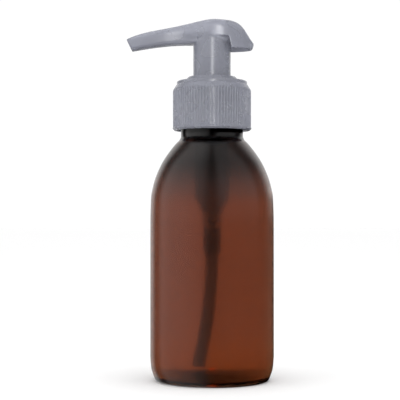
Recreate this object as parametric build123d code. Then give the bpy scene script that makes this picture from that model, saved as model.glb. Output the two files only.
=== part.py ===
"""A lotion pump screwed onto an amber round bottle with a 28 mm neck.

Every moulding, the spring and the ball are separate solids, each written to
its own STEP file. Millimetres, +Z up, origin at the centre of the bottle's
foot, spout toward -X. Heights are measured from the table unless a comment
says otherwise.
"""

from build123d import *

import os
from math import atan2, cos, sin

# Levels that the parts share
RIM = 121.0
COLLAR_TOP = 126.8

# Bottle
BODY_R, BODY_LOW, BODY_HIGH = 25.8, 10.0, 68.0
BODY_WALL, SHOULDER_WALL = 0.6, 0.8
HEEL = [(24.3, 1.9), (25.35, 5.2)]
FOOT_R, FOOT_INNER_R = 22.6, 19.6
PUSH_UP, PUSH_UP_MIDWAY, FLOOR_WALL, FLOOR_DIP = 3.2, 2.464, 1.3, 0.8
INSIDE_FOOT_R, NECK_INSIDE_LOW = 20.2, 101.8
NECK_ROOT_R, NECK_BORE_R = 12.25, 10.75
NECK_LOW_R, NECK_LOW, NECK_HIGH_R = 13.07, 101.2, 12.92
LIP_R, LIP_HEIGHT, EDGE = 12.53, 2.0, 0.35
BEAD_R, BEAD_LOW, BEAD_PEAK, BEAD_TOP = 13.95, 106.3, 107.1, 109.0
SHOULDER = [(25.5, 76.3), (24.9, 80.0), (23.9, 83.8), (22.44, 87.6), (20.55, 91.4), (18.1, 95.1)]
SHOULDER_END = (13.84, 100.2)

# Neck thread: eight turns to the inch, right-hand, broken where the mould halves meet
PITCH = 25.4 / 8
THREAD_SINK = 0.3
THREAD_R, THREAD_FOOT, THREAD_CREST = 13.75, 2.2, 1.0
THREAD_FROM_DEG, THREAD_TURNS, THREAD_Z_AT_0 = -250.0, 1.75, 114.8
PARTING_DEG, PARTING_GAP = -82.0, 1.7

# Screw closure
CLOSURE_LOW, CLOSURE_BORE_R, CLOSURE_HOLE_R = 104.4, 14.3, 8.97
CLOSURE_THREAD_R, CLOSURE_THREAD_FOOT, CLOSURE_THREAD_CREST = 12.8, 1.7, 0.8
CLOSURE_THREAD_FROM_DEG, CLOSURE_THREAD_TURNS = -230.0, 1.7
CEILING, CEILING_R, CORNER_LOW = 123.43, 12.6, 121.6
CLOSURE_TOP, CLOSURE_TOP_R, DISC_EDGE = 125.07, 14.75, 0.7
CLOSURE_R, CLOSURE_LOW_R, SHOULDER_LOW, SHOULDER_TOP = 15.95, 16.15, 120.6, 123.6
CLOSURE_SHOULDER_ARC = 4.5
CLOSURE_LIP_R, CLOSURE_LIP_HEIGHT = 16.5, 1.4
RIB_COUNT, RIB_R, RIB_CIRCLE_R, RIB_DROP, RIB_ARC = 80, 0.42, 15.93, 0.5, 4.0

# Housing, from its flange down to the nipple for the dip tube
FLANGE_R, FLANGE_LOW, FLANGE_TOP = 12.3, 122.2, 123.4
CUP_R, CUP_BORE_R, CUP_LOW, CUP_FLOOR = 9.9, 8.95, 107.2, 108.3
BARREL_TOP_R, BARREL_LOW_R, BARREL_BORE_R = 7.52, 7.3, 5.9
BARREL_LOW, CONE_LOW, SPRING_SEAT, SEAT_R = 76.4, 69.4, 70.2, 3.6
THROAT_R, BALL_SEAT_HIGH, BALL_SEAT_LOW, BALL_SEAT_R = 2.3, 66.7, 65.5, 1.2
NIPPLE_TOP_R, NIPPLE_LOW_R, NIPPLE_LOW = 3.9, 3.62, 52.9
STOP_COUNT, STOP_REACH_R, STOP_LENGTH, STOP_WIDTH, STOP_HEIGHT = 4, 1.4, 1.2, 0.7, 0.8

# Dip tube: straight in the nipple, then one long bend toward the spout's side
TUBE_R, TUBE_BORE_R, TUBE_TOP = 2.775, 1.95, 63.7
TUBE_BEND_R, TUBE_BEND_DEG = 190.0, 14.2

# Collar that guides the stem, snapped into the housing's cup
COLLAR_R, COLLAR_TOP_R, COLLAR_FLANGE_LOW = 10.95, 10.2, 125.1
SLEEVE_R, SLEEVE_BORE_R, WEB_TOP = 8.9, 7.93, 109.5
GUIDE_R, GUIDE_BORE_R, GUIDE_LOW, GUIDE_TOP = 5.0, 3.55, 104.5, 110.3

# Gasket between the rim and the housing's flange
GASKET_R, GASKET_HOLE_R = 12.9, 10.0

# Stem, rod and piston seal
STEM_R, STEM_BORE_R, STEM_TOP, STEM_LOW = 3.5, 1.7, 142.6, 93.6
ROD_R, ROD_BORE_R, ROD_TOP, ROD_TIP_R, ROD_TIP = 2.6, 1.3, 99.0, 2.1, 83.5
VALVE_R, VALVE_LOW, VALVE_TOP = 4.9, 88.1, 89.2
PORT_R, PORT_Z = 0.4, 89.75
SEAL_R, SEAL_MIDDLE_R, SEAL_LIP = 5.86, 5.26, 0.7
SEAL_BORE_R, SEAL_HUB_R, SEAL_TAPER, SEAL_TOP = 2.65, 4.3, 0.3, 92.4

# Spring and ball
SPRING_R, WIRE_R, OPEN_COILS = 3.5, 0.4, 4.55
BALL_R, BALL_Z = 2.0, 67.17

# Head. Its heights are above the collar's top face.
SKIRT_R, SKIRT_BORE_R, SKIRT_LOW = 7.85, 6.7, 122.0
POST_R, POCKET_TOP = 5.1, 141.8
SHELL, SPOUT_EDGE = 1.3, 1.5
RIB_LENGTH, RIB_THICK, RIB_HEIGHT, RIB_Z = 8.05, 1.1, 6.0, 17.0
# Cross-sections from the spout to the thumb pad: x, top, half width, height of the round crown.
# The first two lie beyond the tip, and set how the spout runs out there.
HEAD_SECTIONS = [
    (-46.0, 10.4, 2.9, 2.4),
    (-38.0, 14.6, 3.3, 2.7),
    (-30.5, 17.8, 3.7, 2.9),
    (-23.0, 19.5, 4.2, 3.1),
    (-15.5, 20.9, 4.4, 3.2),
    (-8.1, 22.5, 5.2, 3.5),
    (-2.5, 23.4, 7.4, 3.8),
    (3.5, 23.5, 8.1, 3.9),
    (8.5, 22.9, 7.5, 3.9),
    (12.0, 21.1, 6.5, 3.6),
    (14.5, 18.0, 5.1, 3.0),
    (16.3, 15.3, 3.6, 2.2),
    (18.5, 12.6, 1.6, 1.4),
]
SADDLE = 16.3
PAD_LOW, PAD_FROM_X, PAD_TO_X, PAD_END_X, PAD_END_LOW = 11.4, 8.0, 15.6, 17.4, 13.4
ABOVE_HEAD = 30.0
SPOUT_UNDER = [(-6.2, 13.7), (-12.1, 13.6), (-19.6, 13.1), (-27.0, 12.1), (-33.5, 10.9)]
SPOUT_TIP = (-35.8, 15.6)
SPOUT_BORE_R, SPOUT_BORE_FROM, SPOUT_BORE_TO = 1.5, (0.0, 17.9), (-22.5, 16.2)
SPOUT_MOUTH_R, SPOUT_MOUTH_FROM, SPOUT_MOUTH_TO = 1.95, (-20.0, 16.5), (-37.5, 12.4)


def spun(*edges):
    """The solid that a closed outline in the XZ plane makes when it is turned about Z."""
    return revolve(make_face(Plane.XZ * Curve(list(edges))), Axis.Z)


def spun_points(*points):
    """The same for an outline of straight lines."""
    return revolve(make_face(Plane.XZ * Polyline(*points, close=True)), Axis.Z)


def ring(outer, inner, low, high):
    """A plain tube between two heights."""
    return spun_points((inner, low), (outer, low), (outer, high), (inner, high))


def rod(outer, low, high):
    """A plain round bar between two heights."""
    return Pos(0, 0, (low + high) / 2) * Cylinder(outer, high - low)


def inward(points, wall):
    """A curve's points moved in along its normals, by a wall's thickness."""
    moved = []
    for i, (r, z) in enumerate(points):
        before, after = points[max(i - 1, 0)], points[min(i + 1, len(points) - 1)]
        slope = atan2(after[1] - before[1], after[0] - before[0])
        moved.append((r - wall * sin(slope), z + wall * cos(slope)))
    return moved


def helical_ridge(foot_r, crest_r, foot, crest, from_deg, turns, z_at_0):
    """A thread's ridge with a trapezoid section. Its foot is sunk into the wall it stands on."""
    sink = THREAD_SINK if foot_r > crest_r else -THREAD_SINK
    section = Polyline(
        (foot_r + sink, -foot / 2),
        (crest_r, -crest / 2),
        (crest_r, crest / 2),
        (foot_r + sink, foot / 2),
        close=True,
    )
    path = Helix(PITCH, PITCH * turns, min(foot_r, crest_r))
    ridge = sweep(make_face(Plane.XZ * section), path=path, is_frenet=True)
    return Pos(0, 0, z_at_0 + PITCH * from_deg / 360) * Rot(0, 0, from_deg) * ridge


def bottle_outside():
    shoulder = [(BODY_R, BODY_HIGH)] + SHOULDER + [SHOULDER_END]
    return spun(
        ThreePointArc((0, PUSH_UP), (FOOT_INNER_R / 2, PUSH_UP_MIDWAY), (FOOT_INNER_R, 0)),
        Line((FOOT_INNER_R, 0), (FOOT_R, 0)),
        Spline((FOOT_R, 0), *HEEL, (BODY_R, BODY_LOW), tangents=[(1, 0.15), (0, 1)]),
        Line((BODY_R, BODY_LOW), (BODY_R, BODY_HIGH)),
        Spline(*shoulder, tangents=[(0, 1), (-1, 0.98)]),
        Polyline(
            SHOULDER_END,
            (NECK_LOW_R, NECK_LOW),
            (NECK_HIGH_R, BEAD_LOW),
            (BEAD_R - EDGE, BEAD_LOW),
            (BEAD_R, BEAD_LOW + EDGE),
            (BEAD_R, BEAD_PEAK),
            (NECK_ROOT_R, BEAD_TOP),
            (NECK_ROOT_R, RIM - LIP_HEIGHT),
            (LIP_R, RIM - LIP_HEIGHT),
            (LIP_R, RIM - EDGE),
            (LIP_R - EDGE, RIM),
            (0, RIM),
            (0, PUSH_UP),
        ),
    )


def bottle_inside():
    shoulder = inward([(BODY_R, BODY_HIGH)] + SHOULDER + [SHOULDER_END], SHOULDER_WALL)
    floor = PUSH_UP + FLOOR_WALL
    low = (INSIDE_FOOT_R, FLOOR_WALL)
    heel = inward(HEEL, BODY_WALL)
    body_r = BODY_R - BODY_WALL
    return spun(
        ThreePointArc((0, floor), (INSIDE_FOOT_R / 2, floor - FLOOR_DIP), low),
        Spline(low, *heel, (body_r, BODY_LOW), tangents=[(1, 0), (0, 1)]),
        Line((body_r, BODY_LOW), (body_r, BODY_HIGH)),
        Spline((body_r, BODY_HIGH), *shoulder[1:], tangents=[(0, 1), (-1, 1)]),
        Polyline(
            shoulder[-1],
            (NECK_BORE_R, NECK_INSIDE_LOW),
            (NECK_BORE_R, RIM - EDGE),
            (NECK_BORE_R + EDGE, RIM),
            (NECK_BORE_R + EDGE, RIM + 1),
            (0, RIM + 1),
            (0, floor),
        ),
    )


def make_bottle():
    ridge = helical_ridge(
        NECK_ROOT_R,
        THREAD_R,
        THREAD_FOOT,
        THREAD_CREST,
        THREAD_FROM_DEG,
        THREAD_TURNS,
        THREAD_Z_AT_0,
    )
    reach = 2 * THREAD_R + 2
    ridge -= Pos(0, 0, THREAD_Z_AT_0) * Rot(0, 0, PARTING_DEG) * Box(reach, PARTING_GAP, reach)
    return bottle_outside() + ridge - bottle_inside()


def make_ribs(lip_top):
    """A ribbed sleeve from the lip up to the shoulder, where the ribs run out along an arc."""
    ribs = Circle(RIB_CIRCLE_R)
    for place in PolarLocations(RIB_CIRCLE_R, RIB_COUNT):
        ribs += place * Circle(RIB_R)
    ribs = Pos(0, 0, lip_top - EDGE) * extrude(ribs, SHOULDER_TOP - lip_top)
    arc_low = (CLOSURE_LIP_R, SHOULDER_LOW - 2 * RIB_DROP)
    arc_top = (CLOSURE_TOP_R, SHOULDER_TOP - RIB_DROP)
    low = lip_top - 2 * EDGE
    envelope = spun(
        Polyline((0, low), (CLOSURE_LIP_R, low), arc_low),
        RadiusArc(arc_low, arc_top, -RIB_ARC),
        Polyline(arc_top, (0, arc_top[1]), (0, low)),
    )
    return ribs & envelope


def make_closure():
    lip_top = CLOSURE_LOW + CLOSURE_LIP_HEIGHT
    edge_low = (CLOSURE_TOP_R, CLOSURE_TOP - DISC_EDGE)
    edge_high = (CLOSURE_TOP_R - DISC_EDGE, CLOSURE_TOP)
    body = spun(
        Polyline(
            (0, CLOSURE_LOW),
            (CLOSURE_LIP_R - 2 * EDGE, CLOSURE_LOW),
            (CLOSURE_LIP_R, CLOSURE_LOW + 2 * EDGE),
            (CLOSURE_LIP_R, lip_top - EDGE),
            (CLOSURE_LOW_R, lip_top),
            (CLOSURE_R, SHOULDER_LOW),
        ),
        RadiusArc((CLOSURE_R, SHOULDER_LOW), (CLOSURE_TOP_R, SHOULDER_TOP), -CLOSURE_SHOULDER_ARC),
        Line((CLOSURE_TOP_R, SHOULDER_TOP), edge_low),
        RadiusArc(edge_low, edge_high, -DISC_EDGE),
        Polyline(edge_high, (0, CLOSURE_TOP), (0, CLOSURE_LOW)),
    )
    cavity = spun_points(
        (0, CLOSURE_LOW - 1),
        (CLOSURE_BORE_R + EDGE, CLOSURE_LOW - 1),
        (CLOSURE_BORE_R + EDGE, CLOSURE_LOW),
        (CLOSURE_BORE_R, CLOSURE_LOW + EDGE),
        (CLOSURE_BORE_R, CORNER_LOW),
        (CEILING_R, CEILING),
        (CLOSURE_HOLE_R, CEILING),
        (CLOSURE_HOLE_R, CLOSURE_TOP + 1),
        (0, CLOSURE_TOP + 1),
    )
    ridge = helical_ridge(
        CLOSURE_BORE_R,
        CLOSURE_THREAD_R,
        CLOSURE_THREAD_FOOT,
        CLOSURE_THREAD_CREST,
        CLOSURE_THREAD_FROM_DEG,
        CLOSURE_THREAD_TURNS,
        THREAD_Z_AT_0 - PITCH / 2,
    )
    return body + make_ribs(lip_top) - cavity + ridge


def make_housing():
    outside = spun_points(
        (0, NIPPLE_LOW),
        (NIPPLE_LOW_R - EDGE, NIPPLE_LOW),
        (NIPPLE_LOW_R, NIPPLE_LOW + EDGE),
        (NIPPLE_TOP_R, CONE_LOW),
        (BARREL_LOW_R, BARREL_LOW),
        (BARREL_TOP_R, CUP_LOW),
        (CUP_R, CUP_LOW),
        (CUP_R, FLANGE_LOW),
        (FLANGE_R, FLANGE_LOW),
        (FLANGE_R, FLANGE_TOP),
        (0, FLANGE_TOP),
    )
    inside = spun_points(
        (0, NIPPLE_LOW - 1),
        (TUBE_R, NIPPLE_LOW - 1),
        (TUBE_R, TUBE_TOP),
        (BALL_SEAT_R, TUBE_TOP),
        (BALL_SEAT_R, BALL_SEAT_LOW),
        (THROAT_R, BALL_SEAT_HIGH),
        (THROAT_R, SPRING_SEAT),
        (SEAT_R, SPRING_SEAT),
        (BARREL_BORE_R, BARREL_LOW),
        (BARREL_BORE_R, CUP_FLOOR),
        (CUP_BORE_R, CUP_FLOOR),
        (CUP_BORE_R, FLANGE_TOP + 1),
        (0, FLANGE_TOP + 1),
    )
    housing = outside - inside
    stop = Box(STOP_LENGTH, STOP_WIDTH, STOP_HEIGHT)
    stop = Pos(STOP_REACH_R + STOP_LENGTH / 2, 0, SPRING_SEAT + STOP_HEIGHT / 2) * stop
    for i in range(STOP_COUNT):
        housing += Rot(0, 0, 45 + 360 * i / STOP_COUNT) * stop
    return housing


def make_dip_tube():
    straight = Line((0, 0, TUBE_TOP), (0, 0, NIPPLE_LOW))
    bend = Plane.XZ * CenterArc((-TUBE_BEND_R, NIPPLE_LOW), TUBE_BEND_R, 0, -TUBE_BEND_DEG)
    wall = Pos(0, 0, TUBE_TOP) * (Circle(TUBE_R) - Circle(TUBE_BORE_R))
    return sweep(wall, path=Curve([straight, bend]))


def make_gasket():
    return ring(GASKET_R, GASKET_HOLE_R, RIM, FLANGE_LOW)


def make_collar():
    return spun_points(
        (GUIDE_BORE_R, GUIDE_LOW),
        (GUIDE_R, GUIDE_LOW),
        (GUIDE_R, CUP_FLOOR),
        (SLEEVE_R, CUP_FLOOR),
        (SLEEVE_R, COLLAR_FLANGE_LOW),
        (COLLAR_R, COLLAR_FLANGE_LOW),
        (COLLAR_R, COLLAR_FLANGE_LOW + EDGE),
        (COLLAR_TOP_R, COLLAR_TOP - EDGE),
        (COLLAR_TOP_R - EDGE, COLLAR_TOP),
        (SLEEVE_BORE_R + EDGE, COLLAR_TOP),
        (SLEEVE_BORE_R, COLLAR_TOP - EDGE),
        (SLEEVE_BORE_R, WEB_TOP),
        (GUIDE_R, WEB_TOP),
        (GUIDE_R, GUIDE_TOP),
        (GUIDE_BORE_R, GUIDE_TOP),
    )


def make_stem():
    return spun_points(
        (ROD_R, STEM_LOW),
        (STEM_R, STEM_LOW),
        (STEM_R, STEM_TOP - EDGE),
        (STEM_R - EDGE, STEM_TOP),
        (STEM_BORE_R, STEM_TOP),
        (STEM_BORE_R, ROD_TOP),
        (ROD_R, ROD_TOP),
    )


def make_plunger_rod():
    """The hollow rod: a spigot for the stem above, the valve flange, and a tip inside the spring."""
    body = spun_points(
        (0, ROD_TIP),
        (ROD_TIP_R - EDGE, ROD_TIP),
        (ROD_TIP_R, ROD_TIP + EDGE),
        (ROD_TIP_R, VALVE_LOW),
        (VALVE_R, VALVE_LOW),
        (VALVE_R, VALVE_TOP),
        (ROD_R, VALVE_TOP),
        (ROD_R, ROD_TOP),
        (ROD_BORE_R, ROD_TOP),
        (ROD_BORE_R, VALVE_TOP),
        (0, VALVE_TOP),
    )
    port = Pos(0, 0, PORT_Z) * Rot(0, 90, 0) * Cylinder(PORT_R, 3 * ROD_R)
    return body - port - Rot(0, 0, 90) * port


def make_piston_seal():
    """A hub that the rod slides through, with a lip that rubs the barrel at each end."""
    upper, lower = SEAL_TOP - SEAL_LIP, VALVE_TOP + SEAL_LIP
    return spun_points(
        (SEAL_BORE_R, VALVE_TOP),
        (SEAL_R, VALVE_TOP),
        (SEAL_R, lower),
        (SEAL_MIDDLE_R, lower),
        (SEAL_MIDDLE_R, upper),
        (SEAL_R, upper),
        (SEAL_R, SEAL_TOP),
        (SEAL_MIDDLE_R - SEAL_TAPER, SEAL_TOP),
        (SEAL_HUB_R, upper),
        (SEAL_HUB_R - SEAL_TAPER, SEAL_TOP),
        (SEAL_BORE_R, SEAL_TOP),
    )


def make_return_spring():
    """A compression spring with a closed coil at each end."""
    coil_r = SPRING_R - WIRE_R
    low, high = SPRING_SEAT + WIRE_R, VALVE_LOW - WIRE_R
    path = Helix((high - low) / OPEN_COILS, high - low, coil_r)
    start = Plane(origin=path @ 0, z_dir=path % 0)
    spring = Pos(0, 0, low) * sweep(start * Circle(WIRE_R), path=path, is_frenet=True)
    for z in (low, high):
        spring += Pos(0, 0, z) * Torus(coil_r, WIRE_R)
    return spring


def make_inlet_ball():
    return Pos(0, 0, BALL_Z) * Sphere(BALL_R)


def crowned_bar(inset):
    """A bar along X with upright sides and a round crown. The inset draws it in for the hollow."""
    sections = []
    for x, top, half_width, crown in HEAD_SECTIONS:
        w, t = half_width - inset, top - inset
        waist = top - crown
        outline = Curve(
            [
                Spline((w, waist), (0, t), (-w, waist), tangents=[(0, 1), (0, -1)]),
                Polyline((-w, waist), (-w, 0), (w, 0), (w, waist)),
            ]
        )
        across = Plane(origin=(x, 0, COLLAR_TOP), x_dir=(0, 1, 0), z_dir=(1, 0, 0))
        sections.append(make_face(across * outline))
    return loft(sections)


def side_slab(outline):
    """A slab across the head with an outline in the XZ plane, heights above the collar."""
    face = make_face(Plane(origin=(0, 0, COLLAR_TOP), x_dir=(1, 0, 0), z_dir=(0, -1, 0)) * outline)
    return extrude(face, SKIRT_R + 2, both=True)


def head_block():
    """The saddle and spout: the crowned bar, cut from below and at both ends."""
    waist, spout_start = SKIRT_R - 1, SPOUT_UNDER[0][0]
    over_tip, over_pad = (SPOUT_TIP[0] - 4, ABOVE_HEAD), (PAD_END_X, ABOVE_HEAD)
    pad_end, pad_low = (PAD_END_X, PAD_END_LOW), (PAD_TO_X, PAD_LOW)
    cut = Curve(
        [
            Polyline(SPOUT_UNDER[-1], SPOUT_TIP, over_tip, over_pad, pad_end),
            Spline(pad_end, pad_low, tangents=[(0, -1), (-1, 0)]),
            Polyline(pad_low, (PAD_FROM_X, PAD_LOW), (waist, SADDLE), (spout_start, SADDLE), SPOUT_UNDER[0]),
            Spline(*SPOUT_UNDER),
        ]
    )
    block = crowned_bar(0) & side_slab(cut)
    return fillet([edge for edge in block.edges() if runs_under_spout(edge)], SPOUT_EDGE)


def runs_under_spout(edge):
    """Whether an edge is one of the two long ones at the bottom of the spout's sides."""
    centre = edge.center()
    under = centre.Z < COLLAR_TOP + SPOUT_UNDER[0][1] + 1
    long_enough = abs(SPOUT_TIP[0]) / 2 < edge.length < abs(SPOUT_TIP[0])
    return under and long_enough and abs(centre.Y) > SPOUT_EDGE


def pad_hollow():
    """The space under the thumb pad, open below, between the shell and the skirt."""
    low, end = PAD_LOW - 1, PAD_END_X - SHELL
    cut = Polyline((0, low), (end, low), (end, ABOVE_HEAD), (0, ABOVE_HEAD), close=True)
    return (crowned_bar(SHELL) & side_slab(cut)) - rod(SKIRT_R, SKIRT_LOW, COLLAR_TOP + ABOVE_HEAD)


def between(start, end, radius):
    """A round bar between two points of the XZ plane, heights above the collar."""
    a, b = Vector(start[0], 0, COLLAR_TOP + start[1]), Vector(end[0], 0, COLLAR_TOP + end[1])
    return extrude(Plane(origin=a, z_dir=b - a) * Circle(radius), (b - a).length)


def make_pump_head():
    """Saddle, spout and skirt in one moulding, with a post inside that grips the stem."""
    head = head_block() - pad_hollow()
    head += rod(SKIRT_R, SKIRT_LOW, COLLAR_TOP + SADDLE + 1)
    rib_place = Pos((SKIRT_R + PAD_END_X) / 2, 0, COLLAR_TOP + RIB_Z)
    rib = rib_place * Box(RIB_LENGTH, RIB_THICK, RIB_HEIGHT)
    head += rib & head_block()
    head -= ring(SKIRT_BORE_R, POST_R, SKIRT_LOW - 1, POCKET_TOP)
    head -= rod(STEM_R, SKIRT_LOW - 1, STEM_TOP)
    head -= rod(STEM_BORE_R, STEM_TOP - 1, COLLAR_TOP + SPOUT_BORE_FROM[1])
    head -= between(SPOUT_BORE_FROM, SPOUT_BORE_TO, SPOUT_BORE_R)
    head -= between(SPOUT_MOUTH_FROM, SPOUT_MOUTH_TO, SPOUT_MOUTH_R)
    return head


MAKERS = {
    "bottle": make_bottle,
    "closure": make_closure,
    "housing": make_housing,
    "dip_tube": make_dip_tube,
    "gasket": make_gasket,
    "collar": make_collar,
    "stem": make_stem,
    "plunger_rod": make_plunger_rod,
    "piston_seal": make_piston_seal,
    "return_spring": make_return_spring,
    "inlet_ball": make_inlet_ball,
    "pump_head": make_pump_head,
}

os.makedirs("parts", exist_ok=True)
for name, make in MAKERS.items():
    solid = make()
    print(f"{name}: {solid.volume:.1f} mm3, {len(solid.solids())} solid")
    export_step(solid, f"parts/{name}.step")
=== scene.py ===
# %% [markdown]
# # A lotion pump on an amber bottle
# The object is a 28 mm lotion pump screwed onto a blown amber bottle. Its twelve
# pieces, from the bottle down to the spring and the ball, come from the packed
# frame, already in place and in metres. This lesson gives them their finishes,
# and builds the bottle again, because its rounded screw thread and its clear
# wall are what the eye goes to first.

# %% Load the frame
import math

import bmesh
import bpy
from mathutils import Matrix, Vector


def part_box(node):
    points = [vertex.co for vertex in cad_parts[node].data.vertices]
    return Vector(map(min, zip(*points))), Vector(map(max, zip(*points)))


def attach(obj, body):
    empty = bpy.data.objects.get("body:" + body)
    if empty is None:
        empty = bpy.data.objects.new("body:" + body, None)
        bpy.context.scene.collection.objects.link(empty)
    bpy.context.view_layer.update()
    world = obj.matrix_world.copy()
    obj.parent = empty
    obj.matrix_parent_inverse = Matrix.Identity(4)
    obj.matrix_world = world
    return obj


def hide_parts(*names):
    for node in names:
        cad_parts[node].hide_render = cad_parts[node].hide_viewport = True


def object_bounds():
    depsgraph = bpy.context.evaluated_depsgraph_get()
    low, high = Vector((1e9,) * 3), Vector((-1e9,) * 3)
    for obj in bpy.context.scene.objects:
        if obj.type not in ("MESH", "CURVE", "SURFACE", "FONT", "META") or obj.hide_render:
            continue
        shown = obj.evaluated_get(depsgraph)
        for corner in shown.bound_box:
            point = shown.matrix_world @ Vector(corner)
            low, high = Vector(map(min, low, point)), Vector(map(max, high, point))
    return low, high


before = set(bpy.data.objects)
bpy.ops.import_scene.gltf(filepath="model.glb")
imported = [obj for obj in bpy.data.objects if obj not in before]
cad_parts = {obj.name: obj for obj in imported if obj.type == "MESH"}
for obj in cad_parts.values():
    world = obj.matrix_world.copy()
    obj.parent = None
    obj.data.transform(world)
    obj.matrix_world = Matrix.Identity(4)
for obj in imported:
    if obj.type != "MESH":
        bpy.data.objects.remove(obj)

cad_low, cad_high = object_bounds()
print("CAD box in mm:", [round(v * 1000, 1) for v in (*cad_low, *cad_high)])

# %% [markdown]
# ## Sizes
# The frame already holds every size that another piece has to meet, so those are
# read from it: the radius of the bottle's body and the height of its rim. Only
# what the bottle's own surface adds, such as its wall and the thread's section,
# is written below. Blender works in metres, and outlines are easier to read in
# millimetres, so MM turns one into the other.

# %% Sizes read from the frame
MM = 0.001
BOTTLE_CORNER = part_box("bottle")[1]
RIM = BOTTLE_CORNER.z
body_mm = round(BOTTLE_CORNER.x / MM, 1)
rim_mm = RIM / MM
print("bottle:", body_mm, "mm radius,", round(rim_mm, 1), "mm tall")

# %% [markdown]
# ## A smooth curve through a few points
# Blown and moulded shapes have few corners. A handful of points joined by a
# cubic curve describes a shoulder or a heel better than many straight pieces.
# The slope at each point comes from its neighbours, which is called a
# Catmull-Rom curve. Blender's own curve objects could do this too, but plain
# points can be handed straight to the lathe below.

# %% Curve helpers
def smooth_through(points, steps):
    """Points along a cubic curve that passes through each given (radius, height)."""
    path = []
    for i in range(len(points) - 1):
        before = Vector(points[max(i - 1, 0)])
        start, end = Vector(points[i]), Vector(points[i + 1])
        after = Vector(points[min(i + 2, len(points) - 1)])
        for step in range(steps):
            t = step / steps
            out, into = (end - before) / 2, (after - start) / 2
            path.append(
                (2 * t**3 - 3 * t**2 + 1) * start
                + (t**3 - 2 * t**2 + t) * out
                + (3 * t**2 - 2 * t**3) * end
                + (t**3 - t**2) * into
            )
    return path + [Vector(points[-1])]


def smoothstep(low, high, value):
    """0 below low, 1 above high, and an even S-curve between them."""
    t = min(max((value - low) / (high - low), 0), 1)
    return t * t * (3 - 2 * t)


print("smoothstep a quarter of the way:", smoothstep(0, 1, 0.25))

# %% [markdown]
# ## The bottle's outline
# The bottle is blown from a tube with a ready-made neck, so its wall is thin
# along the side and thicker toward the neck and the base. It stands on a ring,
# and inside that ring the floor is pushed up, with the gate's small nub in the
# middle, where the plastic entered the mould. The outside and the inside are
# two outlines that meet at the rim. Each point is (radius, height) in
# millimetres.

# %% Outside outline, from the gate to the shoulder
PUSH_UP = [(0.0, 2.5), (1.0, 2.55), (1.6, 3.0), (2.3, 3.17), (5.0, 3.1)]
PUSH_UP += [(10.0, 2.4), (15.0, 1.35), (18.6, 0.35), (19.6, 0)]
HEEL = [(22.6, 0), (23.6, 0.45), (24.3, 1.9), (25.35, 5.2), (body_mm, 10)]
SIDE = [(body_mm, z) for z in (10, 25, 40, 55, 68)]
SHOULDER = [(body_mm, 68), (25.5, 76.3), (24.9, 80), (23.9, 83.8)]
SHOULDER += [(22.44, 87.6), (20.55, 91.4), (18.1, 95.1)]
SHOULDER_FOOT = [(15.2, 98.8), (13.8, 100.25), (13.12, 101.4)]
print("body's straight side:", SIDE[0][1], "to", SIDE[-1][1], "mm")

# %% Neck: support bead, thread root, lip and bore
ROOT_R, LIP_R, BORE_R = 12.25, 12.53, 10.75
BEAD = [(12.9, 106.25), (13.55, 106.3), (13.9, 106.55), (13.95, 107.1)]
BEAD += [(13.5, 107.6), (12.6, 108.6), (ROOT_R, 109.1)]
THREAD_ROWS, ROW, ROWS_BELOW_RIM = 80, 0.125, 11.9
RIM_EDGE, RIM_ROUND = 0.12, 0.4
thread_rows = [rim_mm - ROWS_BELOW_RIM + ROW * i for i in range(THREAD_ROWS)]
lip = [(ROOT_R, rim_mm - 2.05), (LIP_R - 0.1, rim_mm - 2), (LIP_R, rim_mm - 1.85)]
lip += [(LIP_R, rim_mm - RIM_ROUND), (LIP_R - RIM_EDGE, rim_mm - RIM_EDGE)]
lip += [(LIP_R - RIM_ROUND, rim_mm)]
print("neck rows for the thread:", len(thread_rows))

# %% Wall thickness
SIDE_WALL, EXTRA_WALL = 0.6, 0.4
THICKER_FROM, THICKER_TO = 58, 97


def wall_at(z):
    """The wall's thickness: thin along the side, thicker toward the neck."""
    return SIDE_WALL + EXTRA_WALL * smoothstep(THICKER_FROM, THICKER_TO, z)


def drawn_in(points):
    """The same outline moved in by the wall's thickness, square to the outline."""
    moved = []
    for i, (r, z) in enumerate(points):
        before, after = points[max(i - 1, 0)], points[min(i + 1, len(points) - 1)]
        slope = math.atan2(after[1] - before[1], after[0] - before[0])
        moved.append((r - wall_at(z) * math.sin(slope), z + wall_at(z) * math.cos(slope)))
    return moved


print("wall in mm at the side and shoulder:", wall_at(30), round(wall_at(95), 2))

# %% Both outlines in full
INSIDE_FLOOR = [(0, 4.9), (3, 4.7), (7, 4.2), (12, 3.4), (17, 2.2), (20.2, 1.5)]
INSIDE_NECK = [(12.9, 99.4), (11.3, 101.5), (BORE_R, 104.5), (BORE_R, 112)]
INSIDE_NECK += [(BORE_R, rim_mm - RIM_ROUND)]
outside = smooth_through(PUSH_UP, 4) + smooth_through(HEEL, 5) + smooth_through(SIDE, 3)[1:]
outside += smooth_through(SHOULDER + SHOULDER_FOOT, 6)[1:]
outside += smooth_through(BEAD, 3) + [Vector((ROOT_R, z)) for z in thread_rows]
outside += [Vector(point) for point in lip]
inside = smooth_through(INSIDE_FLOOR, 4)
inside += smooth_through(drawn_in(HEEL[2:] + SIDE[1:] + SHOULDER[1:]), 5)
inside += smooth_through(INSIDE_NECK, 4)
inside += [Vector((BORE_R + RIM_EDGE, rim_mm - RIM_EDGE)), Vector((BORE_R + RIM_ROUND, rim_mm))]
print("bottle outline:", len(outside), "points outside,", len(inside), "inside")

# %% [markdown]
# ## The screw thread
# The neck's thread is a ridge that climbs 3.175 mm per turn, eight turns to the
# inch. Where the mould's two halves meet it stops and starts again, which lets
# the halves part. A ridge like this could be swept along a helix, but then it
# would be a second skin inside the clear plastic, and glass-like materials show
# every hidden skin. Here the neck's own wall is pushed outward by a height that
# depends on angle and height, so the bottle stays one clean skin.

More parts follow.
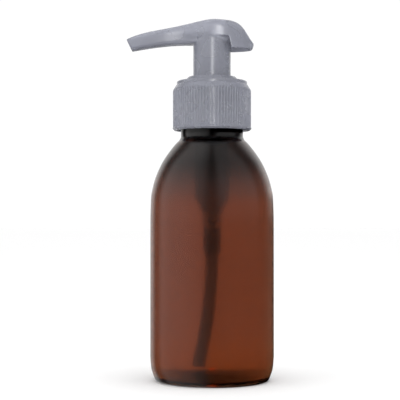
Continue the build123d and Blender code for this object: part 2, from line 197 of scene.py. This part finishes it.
# %% Thread height on the neck
PITCH = 25.4 / 8
THREAD_DEPTH, THREAD_FOOT, THREAD_CREST = 1.5, 2.3, 0.9
THREAD_FROM, THREAD_TO, THREAD_Z_AT_0 = -250, 380, 114.8
RUN_OUT_DEG = 22
PARTING_DEG, PARTING_GAP, PARTING_EDGE, PARTING_EASE = -82, 1.7, 0.1, 0.7


def from_parting(angle):
    """Degrees from the nearer of the two parting lines, which face each other."""
    return abs((angle - PARTING_DEG + 90) % 180 - 90)


def thread_height(angle, z):
    """How far the thread stands out of the neck at an angle in degrees and a height in mm."""
    highest = 0
    for turn in (-1, 0, 1):
        along = angle + 360 * turn
        if THREAD_FROM <= along <= THREAD_TO:
            off = abs(z - THREAD_Z_AT_0 - PITCH * along / 360)
            ridge = 1 - smoothstep(THREAD_CREST / 2, THREAD_FOOT / 2, off)
            start = smoothstep(0, RUN_OUT_DEG, along - THREAD_FROM)
            end = smoothstep(0, RUN_OUT_DEG, THREAD_TO - along)
            highest = max(highest, ridge * start * end)
    away = from_parting(angle) * math.radians(1) * ROOT_R
    half_gap = PARTING_GAP / 2
    parted = smoothstep(half_gap - PARTING_EDGE, half_gap + PARTING_EASE, away)
    return THREAD_DEPTH * highest * parted


print("thread turns:", round((THREAD_TO - THREAD_FROM) / 360, 2))

# %% [markdown]
# ## Turning the outline
# A lathe makes a round skin: each point of the outline becomes a ring of
# vertices, and neighbouring rings are joined by faces. Blender's Screw modifier
# does the same for a plain outline. Building the rings by hand lets each vertex
# ask how far the thread pushes it out.

# %% Turn the outlines into one closed skin
ON_AXIS = 0.001


def lathe(name, rows, segments, push):
    """A mesh turned from rows of (radius, height) in mm. push adds to the radius at each vertex."""
    made = bmesh.new()
    rings = []
    for r, z in rows:
        if r < ON_AXIS:
            rings.append([made.verts.new((0, 0, z * MM))])
            continue
        ring = []
        for i in range(segments):
            angle = 360 * i / segments - 180
            reach = (r + push(angle, r, z)) * MM
            a = math.radians(angle)
            ring.append(made.verts.new((reach * math.cos(a), reach * math.sin(a), z * MM)))
        rings.append(ring)
    for low, high in zip(rings, rings[1:]):
        for i in range(segments):
            j = (i + 1) % segments
            corners = [low[i % len(low)], low[j % len(low)], high[j % len(high)], high[i % len(high)]]
            made.faces.new(list(dict.fromkeys(corners)))
    bmesh.ops.recalc_face_normals(made, faces=made.faces)
    mesh = bpy.data.meshes.new(name)
    made.to_mesh(mesh)
    made.free()
    piece = bpy.data.objects.new(name, mesh)
    bpy.context.scene.collection.objects.link(piece)
    for face in mesh.polygons:
        face.use_smooth = True
    return piece


print("lathe ready for", len(outside) + len(inside), "rows")

# %% [markdown]
# ## The bottle itself
# The mould's halves also leave a fine seam up each side of the neck, so the push
# adds it where the vertices are close to a parting line. The new skin rides on
# the bottle's body and stands in for its CAD node.

# %% The bottle
SEAM_HEIGHT, SEAM_HALF_DEG = 0.07, 0.9
SEGMENTS = 224


def neck_push(angle, r, z):
    """The thread and the mould's fine seam, on the outside of the neck only."""
    on_neck = z > SHOULDER_FOOT[-1][1] and r > BORE_R + 1
    on_root = on_neck and abs(r - ROOT_R) < 0.01
    seam = SEAM_HEIGHT if on_neck and from_parting(angle) < SEAM_HALF_DEG else 0
    return max(thread_height(angle, z) if on_root else 0, seam)


bottle = lathe("amber_bottle", outside + list(reversed(inside)), SEGMENTS, neck_push)
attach(bottle, "bottle")
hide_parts("bottle")
print("bottle skin:", len(bottle.data.polygons), "faces")

# %% [markdown]
# ## Shared surface effects
# Moulded plastic is never perfectly even. Two effects are used by several
# finishes, so each is a node group built once: a soft waviness with tiny
# mottling from the mould, and fine handling scratches that only change the
# gloss. The two helpers here keep the node code short.

# %% Node helpers
def add(tree, kind, **values):
    """A node of that kind in a tree, with its sockets or settings given by name."""
    node = tree.nodes.new(kind)
    for key, value in values.items():
        if key in node.inputs:
            node.inputs[key].default_value = value
        else:
            setattr(node, key, value)
    return node


def new_group(name, inputs, outputs):
    """An empty node group with float inputs and outputs: inputs is {name: default}."""
    group = bpy.data.node_groups.new(name, "ShaderNodeTree")
    for title, value in inputs.items():
        socket = group.interface.new_socket(title, in_out="INPUT", socket_type="NodeSocketFloat")
        socket.default_value = value
    for title in outputs:
        group.interface.new_socket(title, in_out="OUTPUT", socket_type="NodeSocketFloat")
    start = group.nodes.new("NodeGroupInput")
    end = group.nodes.new("NodeGroupOutput")
    return group, start, end


print("node helpers:", add.__name__, "and", new_group.__name__)

# %% [markdown]
# ### Moulded surface
# A slow noise is the waviness of a cooled wall, and a fast one its grain. The
# group puts out the slow noise as Mottle, to vary colour and gloss, and both
# together as Height, for a bump. Painting a texture would do it as well, but
# noise in object space needs no unwrapping.

# %% Moulded surface group
GRAIN_SHARE = 0.15


def make_moulded_group():
    group, start, end = new_group(
        "Moulded_Surface", {"Wave Scale": 120, "Grain Scale": 2600}, ["Mottle", "Height"]
    )
    place = add(group, "ShaderNodeTexCoord")
    wave = add(group, "ShaderNodeTexNoise", Detail=2, Roughness=0.4)
    grain = add(group, "ShaderNodeTexNoise", Detail=1)
    total = add(group, "ShaderNodeMath", operation="MULTIPLY_ADD")
    total.inputs[1].default_value = GRAIN_SHARE
    link = group.links.new
    for noise, title in ((wave, "Wave Scale"), (grain, "Grain Scale")):
        link(place.outputs["Object"], noise.inputs["Vector"])
        link(start.outputs[title], noise.inputs["Scale"])
    link(grain.outputs["Fac"], total.inputs[0])
    link(wave.outputs["Fac"], total.inputs[2])
    link(wave.outputs["Fac"], end.inputs["Mottle"])
    link(total.outputs[0], end.inputs["Height"])
    return group


moulded = make_moulded_group()
print("group:", moulded.name)

# %% [markdown]
# ### Handling scratches
# The edges between Voronoi cells are thin lines. Stretched along the height and
# bent a little by a noise, they pass for the fine scratches of handling. They
# only make the gloss rougher, so they show where a light is reflected and
# nowhere else.

# %% Handling scratches group
SCRATCH_BEND, SCRATCH_STRETCH, SCRATCH_WIDTH = 0.01, 0.12, 0.012


def make_scratch_group():
    group, start, end = new_group("Handling_Scratches", {"Scale": 300, "Amount": 0.3}, ["Mask"])
    place = add(group, "ShaderNodeTexCoord")
    warp = add(group, "ShaderNodeTexNoise", Scale=60, Detail=1)
    lean = add(group, "ShaderNodeVectorMath", operation="MULTIPLY_ADD")
    lean.inputs[1].default_value = (SCRATCH_BEND,) * 3
    stretch = add(group, "ShaderNodeMapping", Scale=(1, 1, SCRATCH_STRETCH))
    lines = add(group, "ShaderNodeTexVoronoi", feature="DISTANCE_TO_EDGE")
    thin = add(group, "ShaderNodeMapRange")
    thin.inputs["From Max"].default_value = SCRATCH_WIDTH
    thin.inputs["To Min"].default_value = 1
    thin.inputs["To Max"].default_value = 0
    faded = add(group, "ShaderNodeMath", operation="MULTIPLY")
    link = group.links.new
    link(place.outputs["Object"], warp.inputs["Vector"])
    link(warp.outputs["Color"], lean.inputs[0])
    link(place.outputs["Object"], lean.inputs[2])
    link(lean.outputs[0], stretch.inputs["Vector"])
    link(stretch.outputs[0], lines.inputs["Vector"])
    link(start.outputs["Scale"], lines.inputs["Scale"])
    link(lines.outputs["Distance"], thin.inputs["Value"])
    link(thin.outputs[0], faded.inputs[0])
    link(start.outputs["Amount"], faded.inputs[1])
    link(faded.outputs[0], end.inputs["Mask"])
    return group


scratches = make_scratch_group()
print("group:", scratches.name)

# %% [markdown]
# ## How a finish starts
# Every finish is one Principled material with both groups wired in the same way:
# the mould's height feeds a bump, and its mottle and the scratches feed the
# roughness. What differs, such as scale and amount, is given for each. The
# function hands back the mottle too, so that a finish can colour with it.

# %% A finish starts as a Principled material with both groups wired in
BUMP_DISTANCE = 0.0002
MOTTLE_LOW, MOTTLE_HIGH = 0.3, 0.7


def start_finish(name, grain, wave, bump, rough, scratch, settings):
    """A material with the shared groups: bump from the mould, roughness from mottle and scratches.

    rough is the (lowest, highest) roughness. Returns the material, tree, shader and mottle."""
    material = bpy.data.materials.new(name)
    material.use_nodes = True
    tree = material.node_tree
    shader = tree.nodes["Principled BSDF"]
    for title, value in settings.items():
        shader.inputs[title].default_value = value
    surface = add(tree, "ShaderNodeGroup", node_tree=moulded)
    surface.inputs["Wave Scale"].default_value = wave
    surface.inputs["Grain Scale"].default_value = grain
    lines = add(tree, "ShaderNodeGroup", node_tree=scratches)
    lines.inputs["Amount"].default_value = scratch
    relief = add(tree, "ShaderNodeBump", Strength=bump, Distance=BUMP_DISTANCE)
    spread = add(tree, "ShaderNodeMapRange")
    spread.inputs["From Min"].default_value = MOTTLE_LOW
    spread.inputs["From Max"].default_value = MOTTLE_HIGH
    spread.inputs["To Min"].default_value = rough[0]
    spread.inputs["To Max"].default_value = rough[1]
    total = add(tree, "ShaderNodeMath", operation="ADD", use_clamp=True)
    link = tree.links.new
    link(surface.outputs["Height"], relief.inputs["Height"])
    link(relief.outputs["Normal"], shader.inputs["Normal"])
    link(surface.outputs["Mottle"], spread.inputs["Value"])
    link(spread.outputs[0], total.inputs[0])
    link(lines.outputs["Mask"], total.inputs[1])
    link(total.outputs[0], shader.inputs["Roughness"])
    return material, tree, shader, surface.outputs["Mottle"]


print("finish helper:", start_finish.__name__)

# %% Helpers that turn a value into a colour or a mask
def ramp_colours(tree, value, stops):
    """A colour socket that follows a value. stops are (position, linear colour)."""
    ramp = add(tree, "ShaderNodeValToRGB")
    elements = ramp.color_ramp.elements
    while len(elements) < len(stops):
        elements.new(0.5)
    for element, (position, colour) in zip(elements, stops):
        element.position = position
        element.color = (*colour, 1)
    tree.links.new(value, ramp.inputs["Fac"])
    return ramp.outputs["Color"]


def map_range(tree, value, low, high, to_low=0.0, to_high=1.0):
    """An even S-curve from to_low to to_high as the value goes from low to high."""
    node = add(tree, "ShaderNodeMapRange", interpolation_type="SMOOTHSTEP")
    for title, number in zip(("From Min", "From Max", "To Min", "To Max"), (low, high, to_low, to_high)):
        node.inputs[title].default_value = number
    tree.links.new(value, node.inputs["Value"])
    return node.outputs[0]


def times(tree, first, second):
    """Two masks multiplied, so only what both cover is left."""
    node = add(tree, "ShaderNodeMath", operation="MULTIPLY")
    tree.links.new(first, node.inputs[0])
    tree.links.new(second, node.inputs[1])
    return node.outputs[0]


print("mask helpers:", map_range.__name__, "and", times.__name__)

# %% [markdown]
# ## Amber bottle plastic
# The bottle's plastic is clear and coloured right through, so how dark it looks
# depends on how much plastic the light crosses: the thin side glows orange
# brown, and the thick shoulder, neck and floor look nearly black. The skin could
# carry an absorbing volume, but a colour that follows the wall's thickness up
# the bottle gives the same look and is quick to render. The mould leaves the
# outside of the body satin and the neck polished, and blown air leaves the
# inside clear, so the inside has a finish of its own.

# %% Amber colours up the bottle
SIDE_AMBER, HEEL_AMBER = (0.37, 0.168, 0.1), (0.4, 0.165, 0.07)
THICK_AMBER, DARK_AMBER, NECK_AMBER = (0.24, 0.13, 0.1), (0.08, 0.045, 0.035), (0.08, 0.05, 0.04)
AMBER_STOPS = [
    (0.0, DARK_AMBER),
    (0.014, DARK_AMBER),
    (0.024, HEEL_AMBER),
    (0.2, SIDE_AMBER),
    (0.62, SIDE_AMBER),
    (0.7, THICK_AMBER),
    (0.76, DARK_AMBER),
    (1.0, NECK_AMBER),
]
MOTTLE_SHIFT = 0.02
print("amber stops:", len(AMBER_STOPS))

# %% [markdown]
# ### Floor and gate
# The pushed-up floor is the thickest part, so it is nearly black. In its middle
# the gate gathers the light that runs along inside the wall, and glows deep
# orange. Following that light would take far too many bounces, so a small
# emission at the gate stands in for it. Both places are masks made from the
# distance to the axis and the height.

# %% Masks for the floor and the gate
FLOOR_COLOUR, GATE_GLOW, GATE_STRENGTH = (0.012, 0.008, 0.007), (1.0, 0.14, 0.015), 1.6
FLOOR_R, FLOOR_TOP, GATE_R = 0.0205, 0.006, 0.0016


def floor_masks(tree, position):
    """The floor's mask and the gate's mask, from a socket with the position."""
    split = add(tree, "ShaderNodeSeparateXYZ")
    flat = add(tree, "ShaderNodeCombineXYZ")
    radius = add(tree, "ShaderNodeVectorMath", operation="LENGTH")
    tree.links.new(position, split.inputs[0])
    for axis in "XY":
        tree.links.new(split.outputs[axis], flat.inputs[axis])
    tree.links.new(flat.outputs[0], radius.inputs[0])
    from_axis = radius.outputs["Value"]
    low = map_range(tree, split.outputs["Z"], FLOOR_TOP, FLOOR_TOP + 1 * MM, 1, 0)
    near = map_range(tree, from_axis, FLOOR_R - 2 * MM, FLOOR_R + 2 * MM, 1, 0)
    gate = map_range(tree, from_axis, GATE_R - 1 * MM, GATE_R + 0.5 * MM, 1, 0)
    return times(tree, low, near), times(tree, low, gate), split.outputs["Z"]


print("floor's dark disc:", round(FLOOR_R / MM, 1), "mm radius")

# %% Amber material
NECK_POLISH_FROM, NECK_POLISH_TO = 0.0975, 0.1005


def make_amber(name, rough, neck_rough):
    settings = {"Transmission Weight": 1.0, "IOR": 1.5, "Emission Strength": GATE_STRENGTH}
    material, tree, shader, mottle = start_finish(name, 1500, 45, 0.04, rough, 0.02, settings)
    link = tree.links.new
    place = add(tree, "ShaderNodeTexCoord")
    on_floor, on_gate, height = floor_masks(tree, place.outputs["Object"])
    share = add(tree, "ShaderNodeMapRange")
    share.inputs["From Max"].default_value = RIM
    shift = add(tree, "ShaderNodeMath", operation="MULTIPLY_ADD")
    shift.inputs[1].default_value = MOTTLE_SHIFT
    link(height, share.inputs["Value"])
    link(mottle, shift.inputs[0])
    link(share.outputs[0], shift.inputs[2])
    colour = add(tree, "ShaderNodeMix", data_type="RGBA")
    colour.inputs[7].default_value = (*FLOOR_COLOUR, 1)
    link(on_floor, colour.inputs[0])
    link(ramp_colours(tree, shift.outputs[0], AMBER_STOPS), colour.inputs[6])
    link(colour.outputs[2], shader.inputs["Base Color"])
    # Painted glow: the gate's emission stands in for the light gathered there.
    glow = ramp_colours(tree, on_gate, [(0.0, (0, 0, 0)), (1.0, GATE_GLOW)])
    link(glow, shader.inputs["Emission Color"])
    polish = add(tree, "ShaderNodeMix", data_type="FLOAT")
    polish.inputs[3].default_value = neck_rough
    link(map_range(tree, height, NECK_POLISH_FROM, NECK_POLISH_TO), polish.inputs[0])
    link(shader.inputs["Roughness"].links[0].from_socket, polish.inputs[2])
    link(polish.outputs[0], shader.inputs["Roughness"])
    return material


bottle.data.materials.append(make_amber("amber_satin", (0.2, 0.24), 0.04))
bottle.data.materials.append(make_amber("amber_clear", (0.03, 0.06), 0.03))
outside_faces = (len(outside) - 1) * SEGMENTS
for face in bottle.data.polygons:
    face.material_index = 0 if face.index < outside_faces else 1
print("finishes:", ", ".join(m.name for m in bottle.data.materials))

# %% [markdown]
# ## Natural pump plastic
# The pump's mouldings are uncoloured polypropylene. It is milky: light goes in,
# scatters and comes out again, so thin walls look pale and the parts behind
# them show as soft shadows. Subsurface scattering is the other way to do it,
# but a rough transmission gives the look at a low cost. The barrel's wall is
# clearer than the head's, so that the spring can be seen. The seal and the
# gasket are duller and hardly let light through.

# %% Natural plastic materials
def make_natural(name, pale, dark, through, rough, bump=0.03):
    """Milky plastic. through is how much light passes, rough the range of roughness."""
    settings = {"Transmission Weight": through, "IOR": 1.49}
    material, tree, shader, mottle = start_finish(name, 2600, 160, bump, rough, 0.004, settings)
    colour = ramp_colours(tree, mottle, [(MOTTLE_LOW, dark), (MOTTLE_HIGH, pale)])
    tree.links.new(colour, shader.inputs["Base Color"])
    return material


pump_plastic = make_natural(
    "natural_plastic", (0.37, 0.38, 0.44), (0.34, 0.35, 0.41), 0.55, (0.25, 0.29)
)
barrel_plastic = make_natural(
    "barrel_plastic", (0.52, 0.53, 0.6), (0.48, 0.49, 0.56), 0.93, (0.07, 0.1)
)
tube_plastic = make_natural(
    "tube_plastic", (0.52, 0.53, 0.6), (0.47, 0.48, 0.55), 0.75, (0.18, 0.24)
)
seal_plastic = make_natural(
    "seal_plastic", (0.6, 0.61, 0.65), (0.52, 0.53, 0.58), 0.1, (0.35, 0.45)
)
gasket_rubber = make_natural(
    "gasket_rubber", (0.6, 0.6, 0.62), (0.52, 0.52, 0.55), 0.0, (0.6, 0.75), 0.3
)
print("plastics:", pump_plastic.name, barrel_plastic.name, tube_plastic.name)

# %% [markdown]
# ## Steel spring and glass ball
# The spring is drawn wire, a dark metal behind the barrel's milky wall. The ball
# is polished glass, so it takes the natural plastic's recipe with hardly any
# roughness. Both sit inside the barrel, where only their dark edges and small
# highlights show.

# %% Steel and glass
def make_steel():
    settings = {"Metallic": 1.0}
    material, tree, shader, mottle = start_finish("spring_steel", 4000, 300, 0.05, (0.2, 0.3), 0.1, settings)
    stops = [(MOTTLE_LOW, (0.1, 0.1, 0.11)), (MOTTLE_HIGH, (0.18, 0.18, 0.2))]
    tree.links.new(ramp_colours(tree, mottle, stops), shader.inputs["Base Color"])
    return material


spring_steel = make_steel()
ball_glass = make_natural("ball_glass", (0.8, 0.84, 0.86), (0.74, 0.79, 0.82), 0.9, (0.03, 0.06), 0.02)
print("steel and glass:", spring_steel.name, ball_glass.name)

# %% [markdown]
# ## Each piece gets its finish
# The CAD pieces keep their meshes and only change their material. One table says
# which finish goes where.

# %% Finishes on the CAD pieces
FINISHES = {
    "closure": pump_plastic,
    "collar": pump_plastic,
    "pump_head": pump_plastic,
    "stem": pump_plastic,
    "plunger_rod": pump_plastic,
    "housing": barrel_plastic,
    "dip_tube": tube_plastic,
    "piston_seal": seal_plastic,
    "gasket": gasket_rubber,
    "return_spring": spring_steel,
    "inlet_ball": ball_glass,
}
for node, finish in FINISHES.items():
    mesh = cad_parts[node].data
    mesh.materials.clear()
    mesh.materials.append(finish)
print("finished CAD pieces:", ", ".join(sorted(FINISHES)))

# %% [markdown]
# ## Soft edges on the pump head
# A moulded head has no sharp edge where the saddle meets the skirt. A bevel
# needs clean edges to work on, and this mesh has many thin triangles. A voxel
# remesh gives it even ones, and a few rounds of smoothing then take the edges
# off. Both are modifiers, so the CAD mesh below them stays as it is.

# %% Round the pump head's edges
VOXEL, SMOOTH_SHARE, SMOOTH_ROUNDS = 0.28 * MM, 0.5, 5
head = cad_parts["pump_head"]
evened = head.modifiers.new("even_mesh", "REMESH")
evened.mode = "VOXEL"
evened.voxel_size = VOXEL
evened.use_smooth_shade = True
softened = head.modifiers.new("soft_edges", "SMOOTH")
softened.factor = SMOOTH_SHARE
softened.iterations = SMOOTH_ROUNDS
print("modifiers on the head:", ", ".join(m.name for m in head.modifiers))

# %% [markdown]
# ## Floor
# The object stands on a plain pale floor, large enough that its far edge is lost
# in the white room. The floor catches the soft shadow. It is hidden from
# reflections, because a pale floor mirrored in the satin wall would lay a milky
# veil over the amber.

# %% Pale floor
FLOOR_HALF = 6


def make_floor():
    made = bmesh.new()
    bmesh.ops.create_grid(made, x_segments=1, y_segments=1, size=FLOOR_HALF)
    mesh = bpy.data.meshes.new("floor")
    made.to_mesh(mesh)
    made.free()
    floor = bpy.data.objects.new("floor", mesh)
    bpy.context.scene.collection.objects.link(floor)
    material = bpy.data.materials.new("pale_floor")
    material.use_nodes = True
    shader = material.node_tree.nodes["Principled BSDF"]
    shader.inputs["Base Color"].default_value = (0.98, 0.98, 0.98, 1)
    shader.inputs["Roughness"].default_value = 0.9
    shader.inputs["Specular IOR Level"].default_value = 0.1
    mesh.materials.append(material)
    floor.visible_glossy = False
    return floor


print("stage:", make_floor().name)

# %% [markdown]
# ## The room
# Clear plastic shows what is around it, so the room matters more than the lamps.
# For direct light and for what is seen through the plastic, the room is plain
# white. Only reflections see walls: a wide soft one at the left, a dim one at
# the right, dark gaps that draw the bottle's edges, and black toward the camera.
# Real panels around the object could do the same, but they would also block
# light and show through the plastic.

# %% Walls seen by reflections
ROOM_LIGHT = 1.03
LEFT_WALLS = [(0.0, 0.0), (0.03, 0.02), (0.12, 0.5), (0.3, 0.9)]
LEFT_WALLS += [(0.6, 1.0), (0.66, 0.06), (0.74, 0.06), (0.8, 1.0)]
RIGHT_WALLS = [(0.0, 0.0), (0.04, 0.02), (0.08, 0.5), (0.5, 0.5)]
RIGHT_WALLS += [(0.56, 0.06), (0.66, 0.06), (0.78, 1.0)]
LEFT_RISE, LEFT_LEAST = (-0.12, 0.1), 0.6
RIGHT_RISE, RIGHT_LEAST = (-0.01, 0.09), 0.0


def one_side(tree, turn, upward, sign, walls, rise, least):
    """The brightness of one side's walls, listed from the front at 0 to the back at 1.

    They brighten from least to full as the direction climbs through rise."""
    share = add(tree, "ShaderNodeMath", operation="DIVIDE")
    share.inputs[1].default_value = sign * math.pi
    tree.links.new(turn, share.inputs[0])
    around = ramp_colours(tree, share.outputs[0], [(at, (value,) * 3) for at, value in walls])
    return times(tree, around, map_range(tree, upward, *rise, to_low=least))


print("walls:", len(LEFT_WALLS), "stops at the left,", len(RIGHT_WALLS), "at the right")

# %% The room
def make_room():
    world = bpy.data.worlds.new("studio")
    bpy.context.scene.world = world
    world.use_nodes = True
    tree = world.node_tree
    link = tree.links.new
    light = tree.nodes["Background"]
    light.inputs["Color"].default_value = (1, 1, 1, 1)
    path = add(tree, "ShaderNodeLightPath")
    place = add(tree, "ShaderNodeTexCoord")
    split = add(tree, "ShaderNodeSeparateXYZ")
    front = add(tree, "ShaderNodeMath", operation="MULTIPLY")
    front.inputs[1].default_value = -1
    turn = add(tree, "ShaderNodeMath", operation="ARCTAN2")
    link(place.outputs["Generated"], split.inputs[0])
    link(split.outputs["Y"], front.inputs[0])
    link(split.outputs["X"], turn.inputs[0])
    link(front.outputs[0], turn.inputs[1])
    around, upward = turn.outputs[0], split.outputs["Z"]
    walls = add(tree, "ShaderNodeMath", operation="ADD")
    link(one_side(tree, around, upward, -1, LEFT_WALLS, LEFT_RISE, LEFT_LEAST), walls.inputs[0])
    link(one_side(tree, around, upward, 1, RIGHT_WALLS, RIGHT_RISE, RIGHT_LEAST), walls.inputs[1])
    mirrored = add(tree, "ShaderNodeMath", operation="SUBTRACT", use_clamp=True)
    link(path.outputs["Is Glossy Ray"], mirrored.inputs[0])
    link(path.outputs["Is Transmission Ray"], mirrored.inputs[1])
    pick = add(tree, "ShaderNodeMix", data_type="FLOAT")
    pick.inputs[2].default_value = ROOM_LIGHT
    link(mirrored.outputs[0], pick.inputs[0])
    link(walls.outputs[0], pick.inputs[3])
    link(pick.outputs[0], light.inputs["Strength"])
    return world


print("world:", make_room().name)
bpy.context.scene.view_settings.view_transform = "Standard"

# %% [markdown]
# ## Lamps
# Two large soft lamps give the floor's shadow its direction and the plastic a
# little shape. Neither is seen in a reflection or through the plastic, because
# the room already takes care of both.

# %% Softboxes
def softbox(name, place, toward, width, height, power):
    """An area lamp that lights the object but doesn't mirror in it."""
    data = bpy.data.lights.new(name, "AREA")
    data.shape = "RECTANGLE"
    data.size = width
    data.size_y = height
    data.energy = power
    lamp = bpy.data.objects.new(name, data)
    lamp.location = place
    lamp.rotation_euler = (Vector(toward) - Vector(place)).to_track_quat("-Z", "Y").to_euler()
    lamp.visible_glossy = False
    lamp.visible_transmission = False
    bpy.context.scene.collection.objects.link(lamp)
    return lamp


middle = (cad_low + cad_high) / 2
left_lamp = softbox("softbox_left", (-0.7, -0.35, 0.35), middle, 0.5, 0.7, 1.0)
top_lamp = softbox("softbox_top", (0.1, -0.2, 0.8), middle, 0.5, 0.5, 1.0)
print("lamps:", left_lamp.name, top_lamp.name)

# %% [markdown]
# ## A strip light for the pump
# The milky head and closure need one narrow highlight down their middle, which
# the bottle below must not have. Light linking does that: the strip's receiver
# is a collection that holds only those pieces. This lamp may be mirrored, since
# the highlight is what it is for.

# %% A strip light for the pump alone
pump_pieces = bpy.data.collections.new("pump_pieces")
for node in ("closure", "collar", "pump_head"):
    pump_pieces.objects.link(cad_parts[node])
strip = softbox("strip_front", (0.03, -0.7, 0.3), (0, 0, cad_high.z), 0.14, 0.3, 1.8)
strip.visible_glossy = True
strip.light_linking.receiver_collection = pump_pieces

# %% [markdown]
# ## Camera
# A long lens from half a metre keeps the bottle's sides nearly parallel. The
# camera stands a little below the object's middle, which shows the floor's dark
# dome through the wall. Depth of field stays off, so the spout and the bottle
# are both sharp.

# %% Camera
CAMERA_DISTANCE, CAMERA_HEIGHT = 0.498, 0.0687
LENS, SENSOR = 107, 36
camera_data = bpy.data.cameras.new("camera")
camera_data.lens = LENS
camera_data.sensor_width = SENSOR
camera = bpy.data.objects.new("camera", camera_data)
camera.location = (middle.x, middle.y - CAMERA_DISTANCE, CAMERA_HEIGHT)
aim = Vector((middle.x, 0, middle.z)) - camera.location
camera.rotation_euler = aim.to_track_quat("-Z", "Y").to_euler()
bpy.context.scene.collection.objects.link(camera)
bpy.context.scene.camera = camera
print("camera at", [round(v, 3) for v in camera.location])
